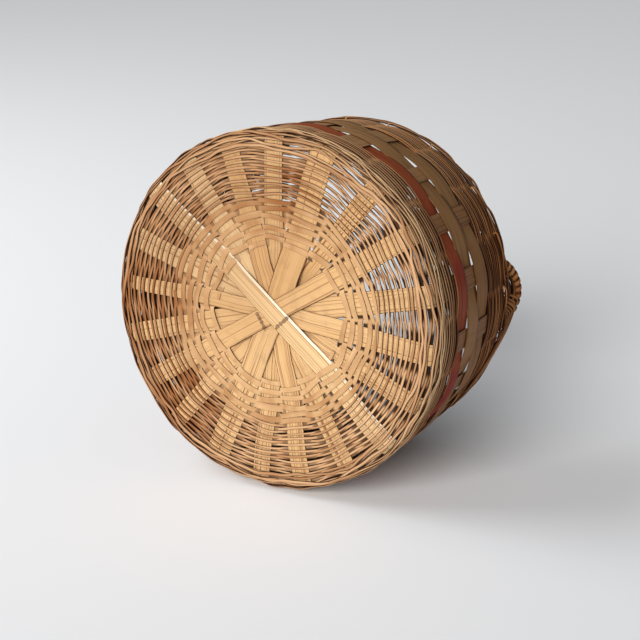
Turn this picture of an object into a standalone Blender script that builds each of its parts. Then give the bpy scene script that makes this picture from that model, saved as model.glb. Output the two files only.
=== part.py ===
"""Carrying basket of ash splint: ten long splints cross at the hub of the round base, which is
pushed up in a low ring round the hub, and turn up as the wall's twenty stakes. Pairs of weavers
chase each other over and under them, three dyed or plain bands go round the wall, two hoops clasp
the rim, and two wrapped ears lift it.

The basket stands upright on the plane z = 0, its axis on Z and its ears near the X axis.
"""

import math

import bmesh
import bpy
import numpy as np

# Whole basket
STAKE_RADIUS = 0.1635
DRAW_IN = 0.0120
STAKE_TOP = 0.1780
HEEL_BEND = 0.0075
SEAT = 0.0003

# Base: how far the lowest splint is up at the hub, how much more the ring round the hub swells
# up, as a factor, and the radius where the base lies flat
DOME_RISE = 0.0030
DOME_SWELL = 12.6
DOME_RADIUS = 0.1360

# Splints
SPLINT_COUNT = 10
SPLINT_WIDTH = 0.0195
SPLINT_THICK = 0.0008
FIRST_SPLINT_DEG = 9.0
HUB_REACH = 0.0660
HUB_STEP = 0.0060
HUB_SLOPE = 0.20
DRAPE_POINTS = 12
DRAPE_LINES = 9
DOME_SECTIONS = 5
HEEL_SECTIONS = 4
WALL_SECTIONS = 5
# Splint laid first, against the ground, and the others in the order they go over it.
LAYING_ORDER = (2, 8, 5, 0, 6, 3, 9, 1, 7, 4)

# Weavers: thickness up to the heel and over it, space between rows, and how far a pass stays
# flat beyond the stake. An end narrows to TONGUE_SHARE of its width over TONGUE_STEPS stakes.
BASE_WEAVER_THICK = 0.0008
WALL_WEAVER_THICK = 0.0009
WEAVER_GAP = 0.0009
OVERHANG = 0.0006
TONGUE_STEPS = 6
TONGUE_SHARE = 0.35

# Zones of the weave, as distances along a stake from the hub, and rounds of each weaver
CANE_START = 0.0675
CANE_ROUNDS = 3
STRAND_START = 0.1070
STRAND_ROUNDS = 4
HEEL_START = 0.1485
HEEL_ROUNDS = 5
UPPER_ROUNDS = 4

# Bands round the wall: height of the lower edge and width
RED_BAND_FOOT = 0.0515
RED_BAND_WIDTH = 0.0180
LOWER_TAN_FOOT = 0.0710
LOWER_TAN_WIDTH = 0.0240
UPPER_TAN_FOOT = 0.0975
UPPER_TAN_WIDTH = 0.0255
BAND_THICK = 0.0009

# Rim
HOOP_HEIGHT = 0.0055
HOOP_THICK = 0.0028
LASHING_WIDTH = 0.0018
LASHING_THICK = 0.0009
LASHING_ROOM = 0.0035

# Ears: their middle is turned a little from the X axis, and their top leans outwards
EAR_TURN_DEG = 7.0
EAR_HALF_WIDTH = 0.0340
EAR_RISE = 0.0310
EAR_LEAN = 0.0120
EAR_ROD_RADIUS = 0.0035
EAR_LEG = 0.0480
EAR_SIDES = 6
ARCH_STEPS = 16
LEG_STEPS = 3
WRAP_WIDTH = 0.0050
WRAP_THICK = 0.0008
WRAP_TURNS = 10
WRAP_POINTS = 8
WRAP_CLEARANCE = 0.0006
WRAP_FOOT = 0.0045

# Worked out from the sizes above
STAKE_COUNT = 2 * SPLINT_COUNT
STAKE_PITCH = 2 * math.pi / STAKE_COUNT
SPLINT_LEVEL = BASE_WEAVER_THICK + SEAT + SPLINT_THICK / 2
BEND_START = STAKE_RADIUS - HEEL_BEND
BEND_LENGTH = HEEL_BEND * math.pi / 2
WALL_START = BEND_START + BEND_LENGTH
WALL_FOOT = SPLINT_LEVEL + HEEL_BEND
RIM_TOP = STAKE_TOP + SEAT


def clear_scene():
    """Remove every object of the open file."""
    for obj in list(bpy.data.objects):
        bpy.data.objects.remove(obj, do_unlink=True)


def make_material(name, colour, roughness):
    """A plain Principled material."""
    mat = bpy.data.materials.new(name)
    mat.use_nodes = True
    shader = mat.node_tree.nodes["Principled BSDF"]
    shader.inputs["Base Color"].default_value = (*colour, 1.0)
    shader.inputs["Roughness"].default_value = roughness
    shader.inputs["Metallic"].default_value = 0.0
    mat.diffuse_color = (*colour, 1.0)
    return mat


def along_wall(height):
    """Distance along a stake, from the hub, of a height on the wall."""
    return WALL_START + height - WALL_FOOT


def meridian(distance):
    """Radius, height and outward normal of the stakes' middle surface at a distance from the hub.

    Over the base it swells up round the hub, comes down and runs out flat. It turns up in a
    quarter circle at the heel, and then draws in towards the rim along a parabola.
    """
    if distance <= DOME_RADIUS:
        share = distance / DOME_RADIUS
        fall = 1 - share**2
        height = SPLINT_LEVEL + DOME_RISE * fall**2 * (1 + DOME_SWELL * share**2)
        turn = DOME_SWELL - 2 - 3 * DOME_SWELL * share**2
        slope = 2 * DOME_RISE * share * fall * turn / DOME_RADIUS
        length = math.hypot(1.0, slope)
        return distance, height, slope / length, -1.0 / length
    if distance <= BEND_START:
        return distance, SPLINT_LEVEL, 0.0, -1.0
    if distance <= WALL_START:
        turn = (distance - BEND_START) / HEEL_BEND
        radius = BEND_START + HEEL_BEND * math.sin(turn)
        height = WALL_FOOT - HEEL_BEND * math.cos(turn)
        return radius, height, math.sin(turn), -math.cos(turn)
    rise = distance - WALL_START
    share = rise / (STAKE_TOP - WALL_FOOT)
    radius = STAKE_RADIUS - DRAW_IN * share**2
    slope = -2 * DRAW_IN * share / (STAKE_TOP - WALL_FOOT)
    length = math.hypot(1.0, slope)
    return radius, WALL_FOOT + rise, 1.0 / length, -slope / length


def place(angle, distance, out=0.0, side=0.0):
    """Point beside a stake: along it, outwards from its middle surface, and across its width."""
    radius, height, normal_r, normal_z = meridian(distance)
    reach = radius + out * normal_r
    return (
        reach * math.cos(angle) - side * math.sin(angle),
        reach * math.sin(angle) + side * math.cos(angle),
        height + out * normal_z,
    )


def stake_angle(stake):
    """Direction of a stake, counted round from the first."""
    return math.radians(FIRST_SPLINT_DEG) + stake * STAKE_PITCH


def loft(name, sections, mat, closed):
    """One solid through sections of equally many points: a ring if closed, else with end caps."""
    bm = bmesh.new()
    rings = [[bm.verts.new(point) for point in section] for section in sections]
    pairs = list(zip(rings, rings[1:]))
    if closed:
        pairs.append((rings[-1], rings[0]))
    sides = len(rings[0])
    for one, two in pairs:
        for j in range(sides):
            k = (j + 1) % sides
            bm.faces.new((one[j], one[k], two[k], two[j]))
    if not closed:
        bm.faces.new(rings[0])
        bm.faces.new(rings[-1])
    bmesh.ops.recalc_face_normals(bm, faces=bm.faces)
    mesh = bpy.data.meshes.new(name)
    bm.to_mesh(mesh)
    bm.free()
    mesh.materials.append(mat)
    obj = bpy.data.objects.new(name, mesh)
    bpy.context.scene.collection.objects.link(obj)
    return obj


def hub_profiles():
    """Height of each splint over its level at even steps across the hub.

    The splints are laid one after another. Each is draped over those already there: at every
    step it clears whatever lies under its width, and it comes down no steeper than HUB_SLOPE.
    """
    steps = round(HUB_REACH / HUB_STEP)
    stations = np.arange(-steps, steps + 1) * HUB_REACH / steps
    fine = np.linspace(-HUB_REACH, HUB_REACH, DRAPE_POINTS * steps + 1)
    across = np.linspace(-SPLINT_WIDTH / 2, SPLINT_WIDTH / 2, DRAPE_LINES)
    along, side = np.meshgrid(fine, across, indexing="ij")
    laid = {}
    for splint in LAYING_ORDER:
        needed = np.zeros(len(fine))
        for other, heights in laid.items():
            turn = (other - splint) * STAKE_PITCH
            other_along = along * math.cos(turn) + side * math.sin(turn)
            other_side = side * math.cos(turn) - along * math.sin(turn)
            covered = np.abs(other_side) <= SPLINT_WIDTH / 2 + SEAT
            over = np.interp(other_along, stations, heights) + SPLINT_THICK + SEAT
            needed = np.maximum(needed, np.where(covered, over, 0.0).max(axis=1))
        reach = np.abs(stations[:, None] - fine[None, :])
        near = reach <= HUB_REACH / steps + 1e-9
        drape = np.where(near, needed[None, :], 0.0).max(axis=1)
        fall = np.abs(stations[:, None] - stations[None, :]) * HUB_SLOPE
        laid[splint] = (drape[None, :] - fall).max(axis=1).clip(min=0.0)
        laid[splint][[0, -1]] = 0.0
    return stations, laid


def splint_section(angle, distance, lift):
    """Rectangle across a stake, lifted off the base where it goes over other splints."""
    corners = []
    for out, side in ((1, -1), (1, 1), (-1, 1), (-1, -1)):
        x, y, z = place(angle, distance, out * SPLINT_THICK / 2, side * SPLINT_WIDTH / 2)
        corners.append((x, y, z + lift))
    return corners


def stake_distances():
    """Places of a stake's sections beyond the hub: along the base, the heel and the wall."""
    dome = np.linspace(HUB_REACH, DOME_RADIUS, DOME_SECTIONS + 1)[1:]
    heel = np.linspace(BEND_START, WALL_START, HEEL_SECTIONS + 1)
    wall = np.linspace(WALL_START, along_wall(STAKE_TOP), WALL_SECTIONS + 1)[1:]
    return [*dome, *heel, *wall]


def add_splint(splint, stations, lifts, mat):
    """One splint: down the wall, across the hub and up the wall on the other side."""
    first = stake_angle(splint)
    second = stake_angle(splint + SPLINT_COUNT)
    sections = [splint_section(first, d, 0.0) for d in reversed(stake_distances())]
    for station, lift in zip(reversed(stations), reversed(lifts)):
        sections.append(splint_section(first, station, lift))
    for d in stake_distances():
        # Seen from the other side of the hub, the width runs the other way.
        section = splint_section(second, d, 0.0)
        sections.append([section[1], section[0], section[3], section[2]])
    return loft(f"splint_{splint + 1:02d}", sections, mat, closed=False)


def add_splints(mat):
    """The ten splints that make the base's spokes and the wall's stakes."""
    stations, laid = hub_profiles()
    for splint in range(SPLINT_COUNT):
        add_splint(splint, stations, laid[splint], mat)


def flat_section(angle, distance, out, side, width, thick):
    """Rectangular section of a weaver that passes a stake."""
    half = width / 2
    corners = ((half, 1), (-half, 1), (-half, -1), (half, -1))
    return [place(angle, distance + d, out + e * thick / 2, side) for d, e in corners]


def crowned_section(angle, distance, out, side, width, thick):
    """Three-sided section of a strand: flat outside the basket and crowned inside it."""
    corners = ((width / 2, 1), (-width / 2, 1), (0.0, -1))
    return [place(angle, distance + d, out + e * thick / 2, side) for d, e in corners]


def pass_offset(thick):
    """Distance from a stake's middle surface to that of a weaver lying on it."""
    return SPLINT_THICK / 2 + SEAT + thick / 2


def add_weaver(name, start, pitch, rounds, over_even, thick, section, mat):
    """One of two weavers that chase each other: it climbs two rows in each round."""
    steps = rounds * STAKE_COUNT
    edge = SPLINT_WIDTH / 2 + OVERHANG
    sections = []
    for step in range(steps):
        out = pass_offset(thick) * (1 if (step % 2 == 0) == over_even else -1)
        for side in (-edge, edge):
            share = side / (2 * STAKE_RADIUS * math.sin(STAKE_PITCH / 2))
            distance = start + 2 * pitch * (step + share) / STAKE_COUNT
            ends = min(step, steps - 1 - step)
            width = (pitch - WEAVER_GAP) * min(1.0, TONGUE_SHARE + ends / TONGUE_STEPS)
            sections.append(section(stake_angle(step), distance, out, side, width, thick))
    return loft(name, sections, mat, closed=False)


def add_pair(name, start, end, rounds, thick, section, mat):
    """Two chasing weavers that fill a zone: together they make 2 rows in each round."""
    pitch = (end - start) / (2 * rounds + 2)
    for letter, row, over_even in (("a", 0.5, True), ("b", 1.5, False)):
        first = start + row * pitch
        add_weaver(f"{name}_{letter}", first, pitch, rounds, over_even, thick, section, mat)


def add_band(name, foot, width, over_even, mat):
    """One wide band, round the wall once, over every other stake."""
    edge = SPLINT_WIDTH / 2 + OVERHANG
    middle = along_wall(foot + width / 2)
    sections = []
    for stake in range(STAKE_COUNT):
        out = pass_offset(BAND_THICK) * (1 if (stake % 2 == 0) == over_even else -1)
        for side in (-edge, edge):
            angle = stake_angle(stake)
            sections.append(flat_section(angle, middle, out, side, width, BAND_THICK))
    return loft(name, sections, mat, closed=True)


def add_hoop(name, facing, mat):
    """One of the two hoops that clasp the stakes' tops: facing is 1 outside and -1 inside."""
    out = facing * pass_offset(HOOP_THICK)
    middle = along_wall(STAKE_TOP - HOOP_HEIGHT / 2)
    edge = SPLINT_WIDTH / 2 + OVERHANG
    sections = []
    for stake in range(STAKE_COUNT):
        for side in (-edge, edge):
            angle = stake_angle(stake)
            sections.append(flat_section(angle, middle, out, side, HOOP_HEIGHT, HOOP_THICK))
    return loft(name, sections, mat, closed=True)


def lashing_turn(stake):
    """Points of one turn of the lashing: outside across a stake, over the rim and back under it.

    Each point is an angle, a distance along the stakes, a distance out and one across.
    """
    clear = pass_offset(HOOP_THICK) + HOOP_THICK / 2 + SEAT + LASHING_THICK
    top = along_wall(RIM_TOP + LASHING_WIDTH / 2)
    foot = along_wall(STAKE_TOP - HOOP_HEIGHT - SEAT - LASHING_WIDTH / 2)
    edge = SPLINT_WIDTH / 2 + OVERHANG
    middle = (top + foot) / 2
    angle = stake_angle(stake)
    after = angle + STAKE_PITCH / 2
    return (
        (angle, (foot + middle) / 2, clear, -edge),
        (angle, (top + middle) / 2, clear, edge),
        (after, top, clear, -LASHING_WIDTH),
        (after, top, -clear, -LASHING_WIDTH),
        (after, foot, -clear, LASHING_WIDTH),
        (after, foot, clear, LASHING_WIDTH),
    )


def add_lashing(mat):
    """The strand that binds the hoops: one turn for each gap between stakes, as a closed coil."""
    path = []
    for stake in range(STAKE_COUNT):
        for angle, distance, out, side in lashing_turn(stake):
            path.append(np.array(place(angle, distance, out, side)))
    return loft("rim_lashing", tube_sections(path, LASHING_THICK / 2, 3, closed=True), mat, True)


def tube_sections(path, radius, sides, closed):
    """Sections of a tube along a path, each turned as little as possible from the one before."""
    count = len(path)
    normal = None
    sections = []
    for i in range(count):
        before = path[i - 1] if i or closed else path[i]
        after = path[(i + 1) % count] if i + 1 < count or closed else path[i]
        tangent = (after - before) / np.linalg.norm(after - before)
        if normal is None:
            normal = np.cross(tangent, (0.3, 0.2, 1.0))
        normal = normal - tangent * normal.dot(tangent)
        normal = normal / np.linalg.norm(normal)
        binormal = np.cross(tangent, normal)
        ring = []
        for j in range(sides):
            turn = 2 * math.pi * j / sides
            ring.append(path[i] + radius * (math.cos(turn) * normal + math.sin(turn) * binormal))
        sections.append(ring)
    return sections


def ear_out():
    """Distance of an ear's legs from the stakes' middle surface, inside the inner hoop."""
    return -(pass_offset(HOOP_THICK) + HOOP_THICK / 2 + SEAT + EAR_ROD_RADIUS)


def ear_arch(share):
    """Point of an ear's arch on the X axis, from one foot (0) over the top (1/2) to the other (1)."""
    radius = meridian(along_wall(STAKE_TOP))[0] + ear_out()
    reach = math.sqrt(radius**2 - EAR_HALF_WIDTH**2)
    turn = math.pi * share
    x = reach + EAR_LEAN * math.sin(turn) ** 2
    y = -EAR_HALF_WIDTH * math.cos(turn)
    return np.array((x, y, RIM_TOP + EAR_RISE * math.sin(turn)))


def ear_leg(side):
    """Points of a leg of an ear on the X axis, from its lower end to the rim."""
    radius = meridian(along_wall(STAKE_TOP))[0] + ear_out()
    angle = side * math.asin(EAR_HALF_WIDTH / radius)
    heights = [STAKE_TOP - EAR_LEG * (1 - step / LEG_STEPS) for step in range(LEG_STEPS)]
    return [np.array(place(angle, along_wall(height), ear_out())) for height in heights]


def turned(point, side_deg):
    """A point of an ear on the X axis, turned about Z to that ear's side of the basket."""
    turn = math.radians(EAR_TURN_DEG + side_deg)
    x, y, z = point
    return np.array(
        (x * math.cos(turn) - y * math.sin(turn), x * math.sin(turn) + y * math.cos(turn), z)
    )


def add_ear(name, side_deg, mat):
    """The rod of an ear: two legs down inside the wall, joined by an arch over the rim."""
    arch = [ear_arch(step / ARCH_STEPS) for step in range(ARCH_STEPS + 1)]
    path = ear_leg(-1) + arch + ear_leg(1)[::-1]
    path = [turned(point, side_deg) for point in path]
    sections = tube_sections(path, EAR_ROD_RADIUS, EAR_SIDES, closed=False)
    return loft(name, sections, mat, closed=False)


def wrap_section(centre, axis, turn):
    """Section of the wrapping strip, flat against the rod at one point of its helix."""
    side = np.array((1.0, 0.0, 0.0)) - axis * axis[0]
    side = side / np.linalg.norm(side)
    up = np.cross(axis, side)
    ray = math.cos(turn) * side + math.sin(turn) * up
    inner = EAR_ROD_RADIUS + WRAP_CLEARANCE
    half = WRAP_WIDTH / 2
    corners = ((half, inner), (half, inner + WRAP_THICK), (-half, inner + WRAP_THICK), (-half, inner))
    return [centre + along * axis + out * ray for along, out in corners]


def add_wrap(name, side_deg, mat):
    """The strip wound round an ear's arch, from just over the rim to just over the rim."""
    first = math.asin(WRAP_FOOT / EAR_RISE) / math.pi
    steps = WRAP_TURNS * WRAP_POINTS
    sections = []
    for step in range(steps + 1):
        share = first + (1 - 2 * first) * step / steps
        ahead = ear_arch(share + 0.001) - ear_arch(share - 0.001)
        axis = ahead / np.linalg.norm(ahead)
        section = wrap_section(ear_arch(share), axis, 2 * math.pi * step / WRAP_POINTS)
        sections.append([turned(point, side_deg) for point in section])
    return loft(name, sections, mat, closed=False)


def add_weave(cane, strand, dark):
    """The weavers of the base and of the wall."""
    add_pair("base_cane", CANE_START, STRAND_START, CANE_ROUNDS, BASE_WEAVER_THICK, flat_section, cane)
    add_pair(
        "base_strand", STRAND_START, HEEL_START, STRAND_ROUNDS, BASE_WEAVER_THICK, crowned_section, strand
    )
    add_pair(
        "heel_strand",
        HEEL_START,
        along_wall(RED_BAND_FOOT),
        HEEL_ROUNDS,
        BASE_WEAVER_THICK,
        crowned_section,
        dark,
    )
    add_pair(
        "wall_strand",
        along_wall(UPPER_TAN_FOOT + UPPER_TAN_WIDTH + WEAVER_GAP),
        along_wall(STAKE_TOP - HOOP_HEIGHT - LASHING_ROOM),
        UPPER_ROUNDS,
        WALL_WEAVER_THICK,
        crowned_section,
        dark,
    )


def main():
    clear_scene()
    splint = make_material("pale_splint", (0.62, 0.42, 0.20), 0.55)
    cane = make_material("base_cane", (0.50, 0.29, 0.14), 0.55)
    strand = make_material("fine_strand", (0.42, 0.24, 0.10), 0.6)
    dark = make_material("brown_strand", (0.22, 0.11, 0.05), 0.6)
    red = make_material("red_splint", (0.32, 0.03, 0.03), 0.6)
    tan = make_material("tan_splint", (0.28, 0.19, 0.11), 0.6)
    add_splints(splint)
    add_weave(cane, strand, dark)
    add_band("red_band", RED_BAND_FOOT, RED_BAND_WIDTH, False, red)
    add_band("lower_tan_band", LOWER_TAN_FOOT, LOWER_TAN_WIDTH, True, tan)
    add_band("upper_tan_band", UPPER_TAN_FOOT, UPPER_TAN_WIDTH, False, tan)
    add_hoop("rim_hoop_outer", 1, dark)
    add_hoop("rim_hoop_inner", -1, dark)
    add_lashing(dark)
    for side, side_deg in (("right", 0.0), ("left", 180.0)):
        add_ear(f"{side}_ear", side_deg, dark)
        add_wrap(f"{side}_ear_wrap", side_deg, dark)


main()
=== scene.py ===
"""Looks of the carrying basket: its splints, weavers, bands, rim and ears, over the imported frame.

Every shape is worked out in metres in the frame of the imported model: the basket stands upright on
z = 0 with its ears near the X axis. The camera and the floor are turned instead, so that it lies
on its side with the base towards the camera.
"""

import math

import bpy
import numpy as np
from mathutils import Matrix, Vector


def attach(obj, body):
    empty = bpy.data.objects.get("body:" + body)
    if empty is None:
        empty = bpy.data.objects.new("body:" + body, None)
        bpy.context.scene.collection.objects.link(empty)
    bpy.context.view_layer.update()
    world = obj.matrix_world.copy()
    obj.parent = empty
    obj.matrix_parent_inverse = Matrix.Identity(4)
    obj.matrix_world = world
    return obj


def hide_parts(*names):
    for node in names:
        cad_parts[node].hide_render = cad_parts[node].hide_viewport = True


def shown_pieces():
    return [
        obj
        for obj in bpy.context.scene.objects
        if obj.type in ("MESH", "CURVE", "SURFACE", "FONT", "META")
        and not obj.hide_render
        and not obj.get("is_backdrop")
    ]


bl_info = {
    "name": "Carrying Basket",
    "version": (1, 0, 0),
    "blender": (4, 5, 0),
    "location": "View3D > Sidebar > Basket",
    "description": "Makes the woven pieces of a round splint basket and the stage it lies on",
    "category": "Add Mesh",
}

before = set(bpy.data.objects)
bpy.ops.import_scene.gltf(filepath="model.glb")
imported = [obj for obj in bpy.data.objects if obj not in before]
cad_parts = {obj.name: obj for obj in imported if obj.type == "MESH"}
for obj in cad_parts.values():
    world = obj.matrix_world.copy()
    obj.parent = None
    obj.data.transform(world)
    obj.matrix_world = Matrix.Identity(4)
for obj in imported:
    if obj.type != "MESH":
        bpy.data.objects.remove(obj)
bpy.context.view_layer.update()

# The basket's middle surface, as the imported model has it
STAKE_RADIUS = 0.1635
DRAW_IN = 0.0120
STAKE_TOP = 0.1780
HEEL_BEND = 0.0075
LEVEL = 0.0015
DOME_RISE = 0.0030
DOME_SWELL = 12.6
DOME_RADIUS = 0.1360
BEND_START = STAKE_RADIUS - HEEL_BEND
WALL_START = BEND_START + HEEL_BEND * math.pi / 2
WALL_FOOT = LEVEL + HEEL_BEND

STAKES = 20
SPLINTS = 10
# Direction of the first spoke, and the even step to the next, in degrees
FIRST_SPOKE, SPOKE_STEP = 9, 18
SPLINT_THICK = 0.0008
HOOP_THICK = 0.0028
# Gap that stands in for contact
SEAT = 0.0003
# Splint laid first, outermost on the base, and the others in the order they go over it
LAYING_ORDER = (2, 8, 6, 4, 0, 3, 9, 5, 1, 7)
# How far from the hub the splints lie over each other, and how steeply each comes down again
HUB_REACH, DRAPE_SLOPE = 0.07, 0.17

# How many degrees each spoke strays from an even twentieth, on the inner and the outer base
STRAY_INNER = (
    *(2.8, 2.8, 1.9, 2.5, 1.4, -0.5, 0.5, 1.8, 0.5, -0.1),
    *(0.2, -1.4, -1.6, -2.6, -3.0, -4.4, -2.4, -0.1, 0.5, 1.9),
)
STRAY_OUTER = (
    *(2.2, 1.8, 1.6, 1.1, 1.8, -0.1, 0.1, 1.2, 0.4, -0.2),
    *(0.2, -1.0, -0.7, -1.5, -2.1, -2.9, -2.8, 0.0, -0.1, 1.5),
)
# Width of each spoke on the inner and the outer base, in millimetres
WIDTH_INNER = (
    *(18.8, 20.0, 19.6, 18.5, 16.9, 18.0, 23.2, 17.3, 18.0, 18.5),
    *(14.9, 20.4, 19.2, 19.6, 19.6, 19.2, 25.9, 18.0, 20.4, 21.2),
)
WIDTH_OUTER = (
    *(20.4, 19.3, 20.4, 18.2, 18.7, 17.6, 24.4, 17.6, 18.7, 18.7),
    *(14.2, 21.3, 21.0, 19.9, 19.3, 19.6, 26.1, 18.7, 19.9, 21.0),
)
INNER_AT, OUTER_AT = 0.090, 0.130

# The two weavers of each pair, and the stake at which each begins
WEAVERS = (("a", 10), ("b", 1))
# Distances from the hub at which the flat, the fine and the heel's weavers begin
CANES_FROM, STRANDS_FROM, HEEL_FROM = 0.0608, 0.1038, 0.1500
# Pitch of the rows of the flat and of the fine weavers, at the first row and at the last
CANE_PITCH, STRAND_PITCH = (0.0050, 0.0036), (0.0028, 0.0023)
# How far the ring of flat weavers sits off the hub, and in which direction
OFF_HUB, OFF_HUB_TURN = 0.0045, math.radians(30)
# Where the weave of the base stays loose and is seen through, and how far that reaches
LOOSE = (
    ((0.0764, -0.1052), 0.030),
    ((0.1170, -0.0900), 0.018),
    ((0.1150, -0.0330), 0.038),
    ((0.1180, 0.0040), 0.036),
)
# Gap from a band's given edge to the strands beside it, and how far the band spreads past the edge
BAND_GAP, BAND_SPREAD = 0.0010, 0.0028
# Long strands round the heel: how many, the first one's distance from the hub, and the step
BUNDLE_COUNT, BUNDLE_FROM, BUNDLE_STEP = 6, 0.1530, 0.0042
# How far the ears are turned off the X axis, and how far their legs reach down inside the wall
EAR_TURN, EAR_LEG = math.radians(7), 0.048
# Width and thickness of the strands that an ear is bent from
EAR_STRAND = (0.0036, 0.0030)

# Spokes with fine ridges, with an orange tone, and with a paler one
RIDGED = (3, 5, 6, 16, 17)
WARM = (14, 16, 17)
PALE = (2, 11, 12, 13)
# Dark marks on the hub where the splints stack, partly dirt and partly painted shade of their edges: their
# height, how far each reaches, and where they are
MARK_HEIGHT, MARK_REACH = 0.0042, 0.0036
HUB_MARKS = (
    *((0.0145, 0.0046), (0.0114, 0.0072), (0.0078, 0.0099), (0.0041, 0.0126)),
    *((0.0012, 0.0163), (-0.0024, 0.0159), (-0.0070, 0.0156), (-0.0105, 0.0168)),
    *((-0.0108, 0.0133), (-0.0127, 0.0093), (-0.0147, 0.0054), (-0.0167, 0.0019)),
)
# Where the strands have gone brown, and how far that reaches
BROWNED = (
    ((0.030, -0.106, 0.0), 0.046),
    ((-0.098, 0.086, 0.0), 0.056),
    ((0.0, -0.069, 0.0), 0.022),
    ((-0.140, 0.0, 0.0), 0.075),
)
# Middle and reach of the upward side, painted lighter as if lit from above, of the duller side of the base,
# and of the side where the strands behind the spokes get the deepest painted shade
LIT_SIDE = ((0.030, -0.170, 0.090), 0.210)
DULLED = ((-0.050, -0.070, 0.0), 0.130)
SHADED = ((0.130, 0.010, 0.0), 0.190)
# Heights between which the splints and the strands turn from the base's colours to the wall's
SPLINTS_AGE, STRANDS_AGE = (0.012, 0.050), (0.022, 0.048)
# Heights over which the pale strands at the foot of the wall begin and end
FOOT_BEGINS, FOOT_ENDS = (0.006, 0.011), (0.024, 0.014)


def linear(red, green, blue):
    """A colour in linear light, from the 0 to 255 values of a picture.

    Each share of 255, plus 0.055, is divided by 1.055 and raised to 2.4. A dark one is only
    divided by 12.92.
    """
    shares = (value / 255 for value in (red, green, blue))
    return tuple(((c + 0.055) / 1.055) ** 2.4 if c > 0.04 else c / 12.92 for c in shares)


PALE_SPLINT = linear(238, 210, 162)
# Painted highlight along one edge of the outermost splint
EDGE_HIGHLIGHT = linear(250, 238, 212)
WALL_SPLINT = linear(142, 98, 60)
PALE_STRAND = linear(228, 192, 150)
FOOT_STRAND = linear(246, 204, 152)
WALL_STRAND = linear(200, 136, 80)
# Painted shade down the sides of the strands, on the base and on the wall
BASE_SIDE_SHADE = linear(52, 22, 7)
WALL_SIDE_SHADE = linear(28, 10, 4)
# Painted shade on the strands where they pass behind the spokes
SHADE_BEHIND_SPOKES = linear(30, 12, 5)


def colour_property(name, description, red, green, blue):
    """A colour setting whose default is given in picture values."""
    default = linear(red, green, blue)
    return bpy.props.FloatVectorProperty(
        name=name, description=description, subtype="COLOR", size=3, min=0.0, max=1.0, default=default
    )


def length_property(name, description, metres):
    """A length setting in metres."""
    kind = {"unit": "LENGTH", "subtype": "DISTANCE", "min": 0.0, "precision": 5}
    return bpy.props.FloatProperty(name=name, description=description, default=metres, **kind)


class BasketSizes(bpy.types.PropertyGroup):
    """Sizes of the woven pieces."""

    cane_width: length_property("Cane width", "Width of the flat weavers of the inner base", 0.0051)
    cane_thick: length_property("Cane thickness", "Thickness of the flat weavers", 0.0009)
    strand_width: length_property("Strand width", "Width of the fine weavers of the outer base", 0.0024)
    strand_thick: length_property("Strand thickness", "Thickness of the fine weavers", 0.0015)
    heel_width: length_property("Heel strand width", "Width of the weavers round the heel", 0.0024)
    heel_thick: length_property("Heel strand thickness", "Thickness of the weavers round the heel", 0.0017)
    band_thick: length_property("Band thickness", "Thickness of the dyed and plain bands", 0.0009)
    red_foot: length_property("Red band height", "Lower edge of the red band over the ground", 0.0515)
    red_width: length_property("Red band width", "Width of the red band", 0.0180)
    lower_tan_foot: length_property("Lower tan band height", "Lower edge of the lower tan band", 0.0710)
    lower_tan_width: length_property("Lower tan band width", "Width of the lower tan band", 0.0240)
    upper_tan_foot: length_property("Upper tan band height", "Lower edge of the upper tan band", 0.0975)
    upper_tan_width: length_property("Upper tan band width", "Width of the upper tan band", 0.0255)
    hoop_height: length_property("Hoop height", "Height of the hoops at the rim", 0.0055)
    ear_half_width: length_property("Ear half width", "Half the width of an ear at the rim", 0.0340)
    ear_rise: length_property("Ear rise", "Height of an ear over the rim", 0.0310)
    ear_lean: length_property("Ear lean", "How far the top of an ear leans outwards", 0.0120)
    rod_radius: length_property("Ear rod radius", "Radius of the bundle that an ear is bent from", 0.0035)


class BasketColours(bpy.types.PropertyGroup):
    """Colours of the finishes."""

    splint: colour_property("Splint", "Pale wood of the splints", 207, 168, 119)
    splint_warm: colour_property("Warm splint", "Orange wood of some splints", 200, 153, 98)
    splint_grain: colour_property("Splint grain", "Dark lines of the splints' grain", 128, 82, 44)
    cane: colour_property("Cane", "Tan wood of the flat inner weavers", 190, 151, 108)
    strand: colour_property("Strand", "Tan wood of the fine weavers", 197, 156, 116)
    brown: colour_property("Brown strand", "Brown wood of the wall weavers", 132, 76, 34)
    red: colour_property("Red dye", "Dye of the red band", 136, 22, 14)
    faded: colour_property("Faded dye", "Faded dye of the red band", 160, 84, 50)
    tan: colour_property("Tan band", "Brownish tan of the two plain bands", 142, 98, 56)
    # Also used for painted shade along the splints' edges and on the hub
    stain_and_shade: colour_property("Stain", "Dark stains and old dirt", 66, 32, 14)
    floor: colour_property("Floor", "Pale studio floor", 246, 248, 251)


def smooth(x):
    """Smooth step: 0 below 0, 1 above 1, and three x squared less two x cubed between."""
    x = np.clip(x, 0.0, 1.0)
    return x * x * (3 - 2 * x)


def wander(seed, *coordinates):
    """Smooth unevenness of about -1 to 1: seven sine waves through the coordinates, added up.

    Each wave has a seeded direction and phase, and runs at most once through each unit.
    """
    rng = np.random.default_rng(seed)
    waves, peak = 7, 1.6
    total = 0.0
    for _ in range(waves):
        turns = rng.uniform(-1.0, 1.0, len(coordinates))
        phase = rng.uniform(0.0, 2 * math.pi)
        total = total + np.sin(2 * math.pi * sum(t * c for t, c in zip(turns, coordinates)) + phase)
    return total * math.sqrt(2 / waves) / peak


def full_turn(count):
    """Even angles of a full turn."""
    return 2 * math.pi * np.arange(count) / count


def on_circle(angle, size):
    """Coordinates on a circle, for unevenness that closes on itself: a larger one is quicker."""
    return np.cos(angle) * size, np.sin(angle) * size


def spread(*parts):
    """Vectors from their three parts, which are numbers or arrays of shapes that fit together."""
    return np.stack(np.broadcast_arrays(*parts), -1)


def along_wall(height):
    """Distance along a stake, from the hub, of a height on the wall."""
    return WALL_START + height - WALL_FOOT


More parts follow.
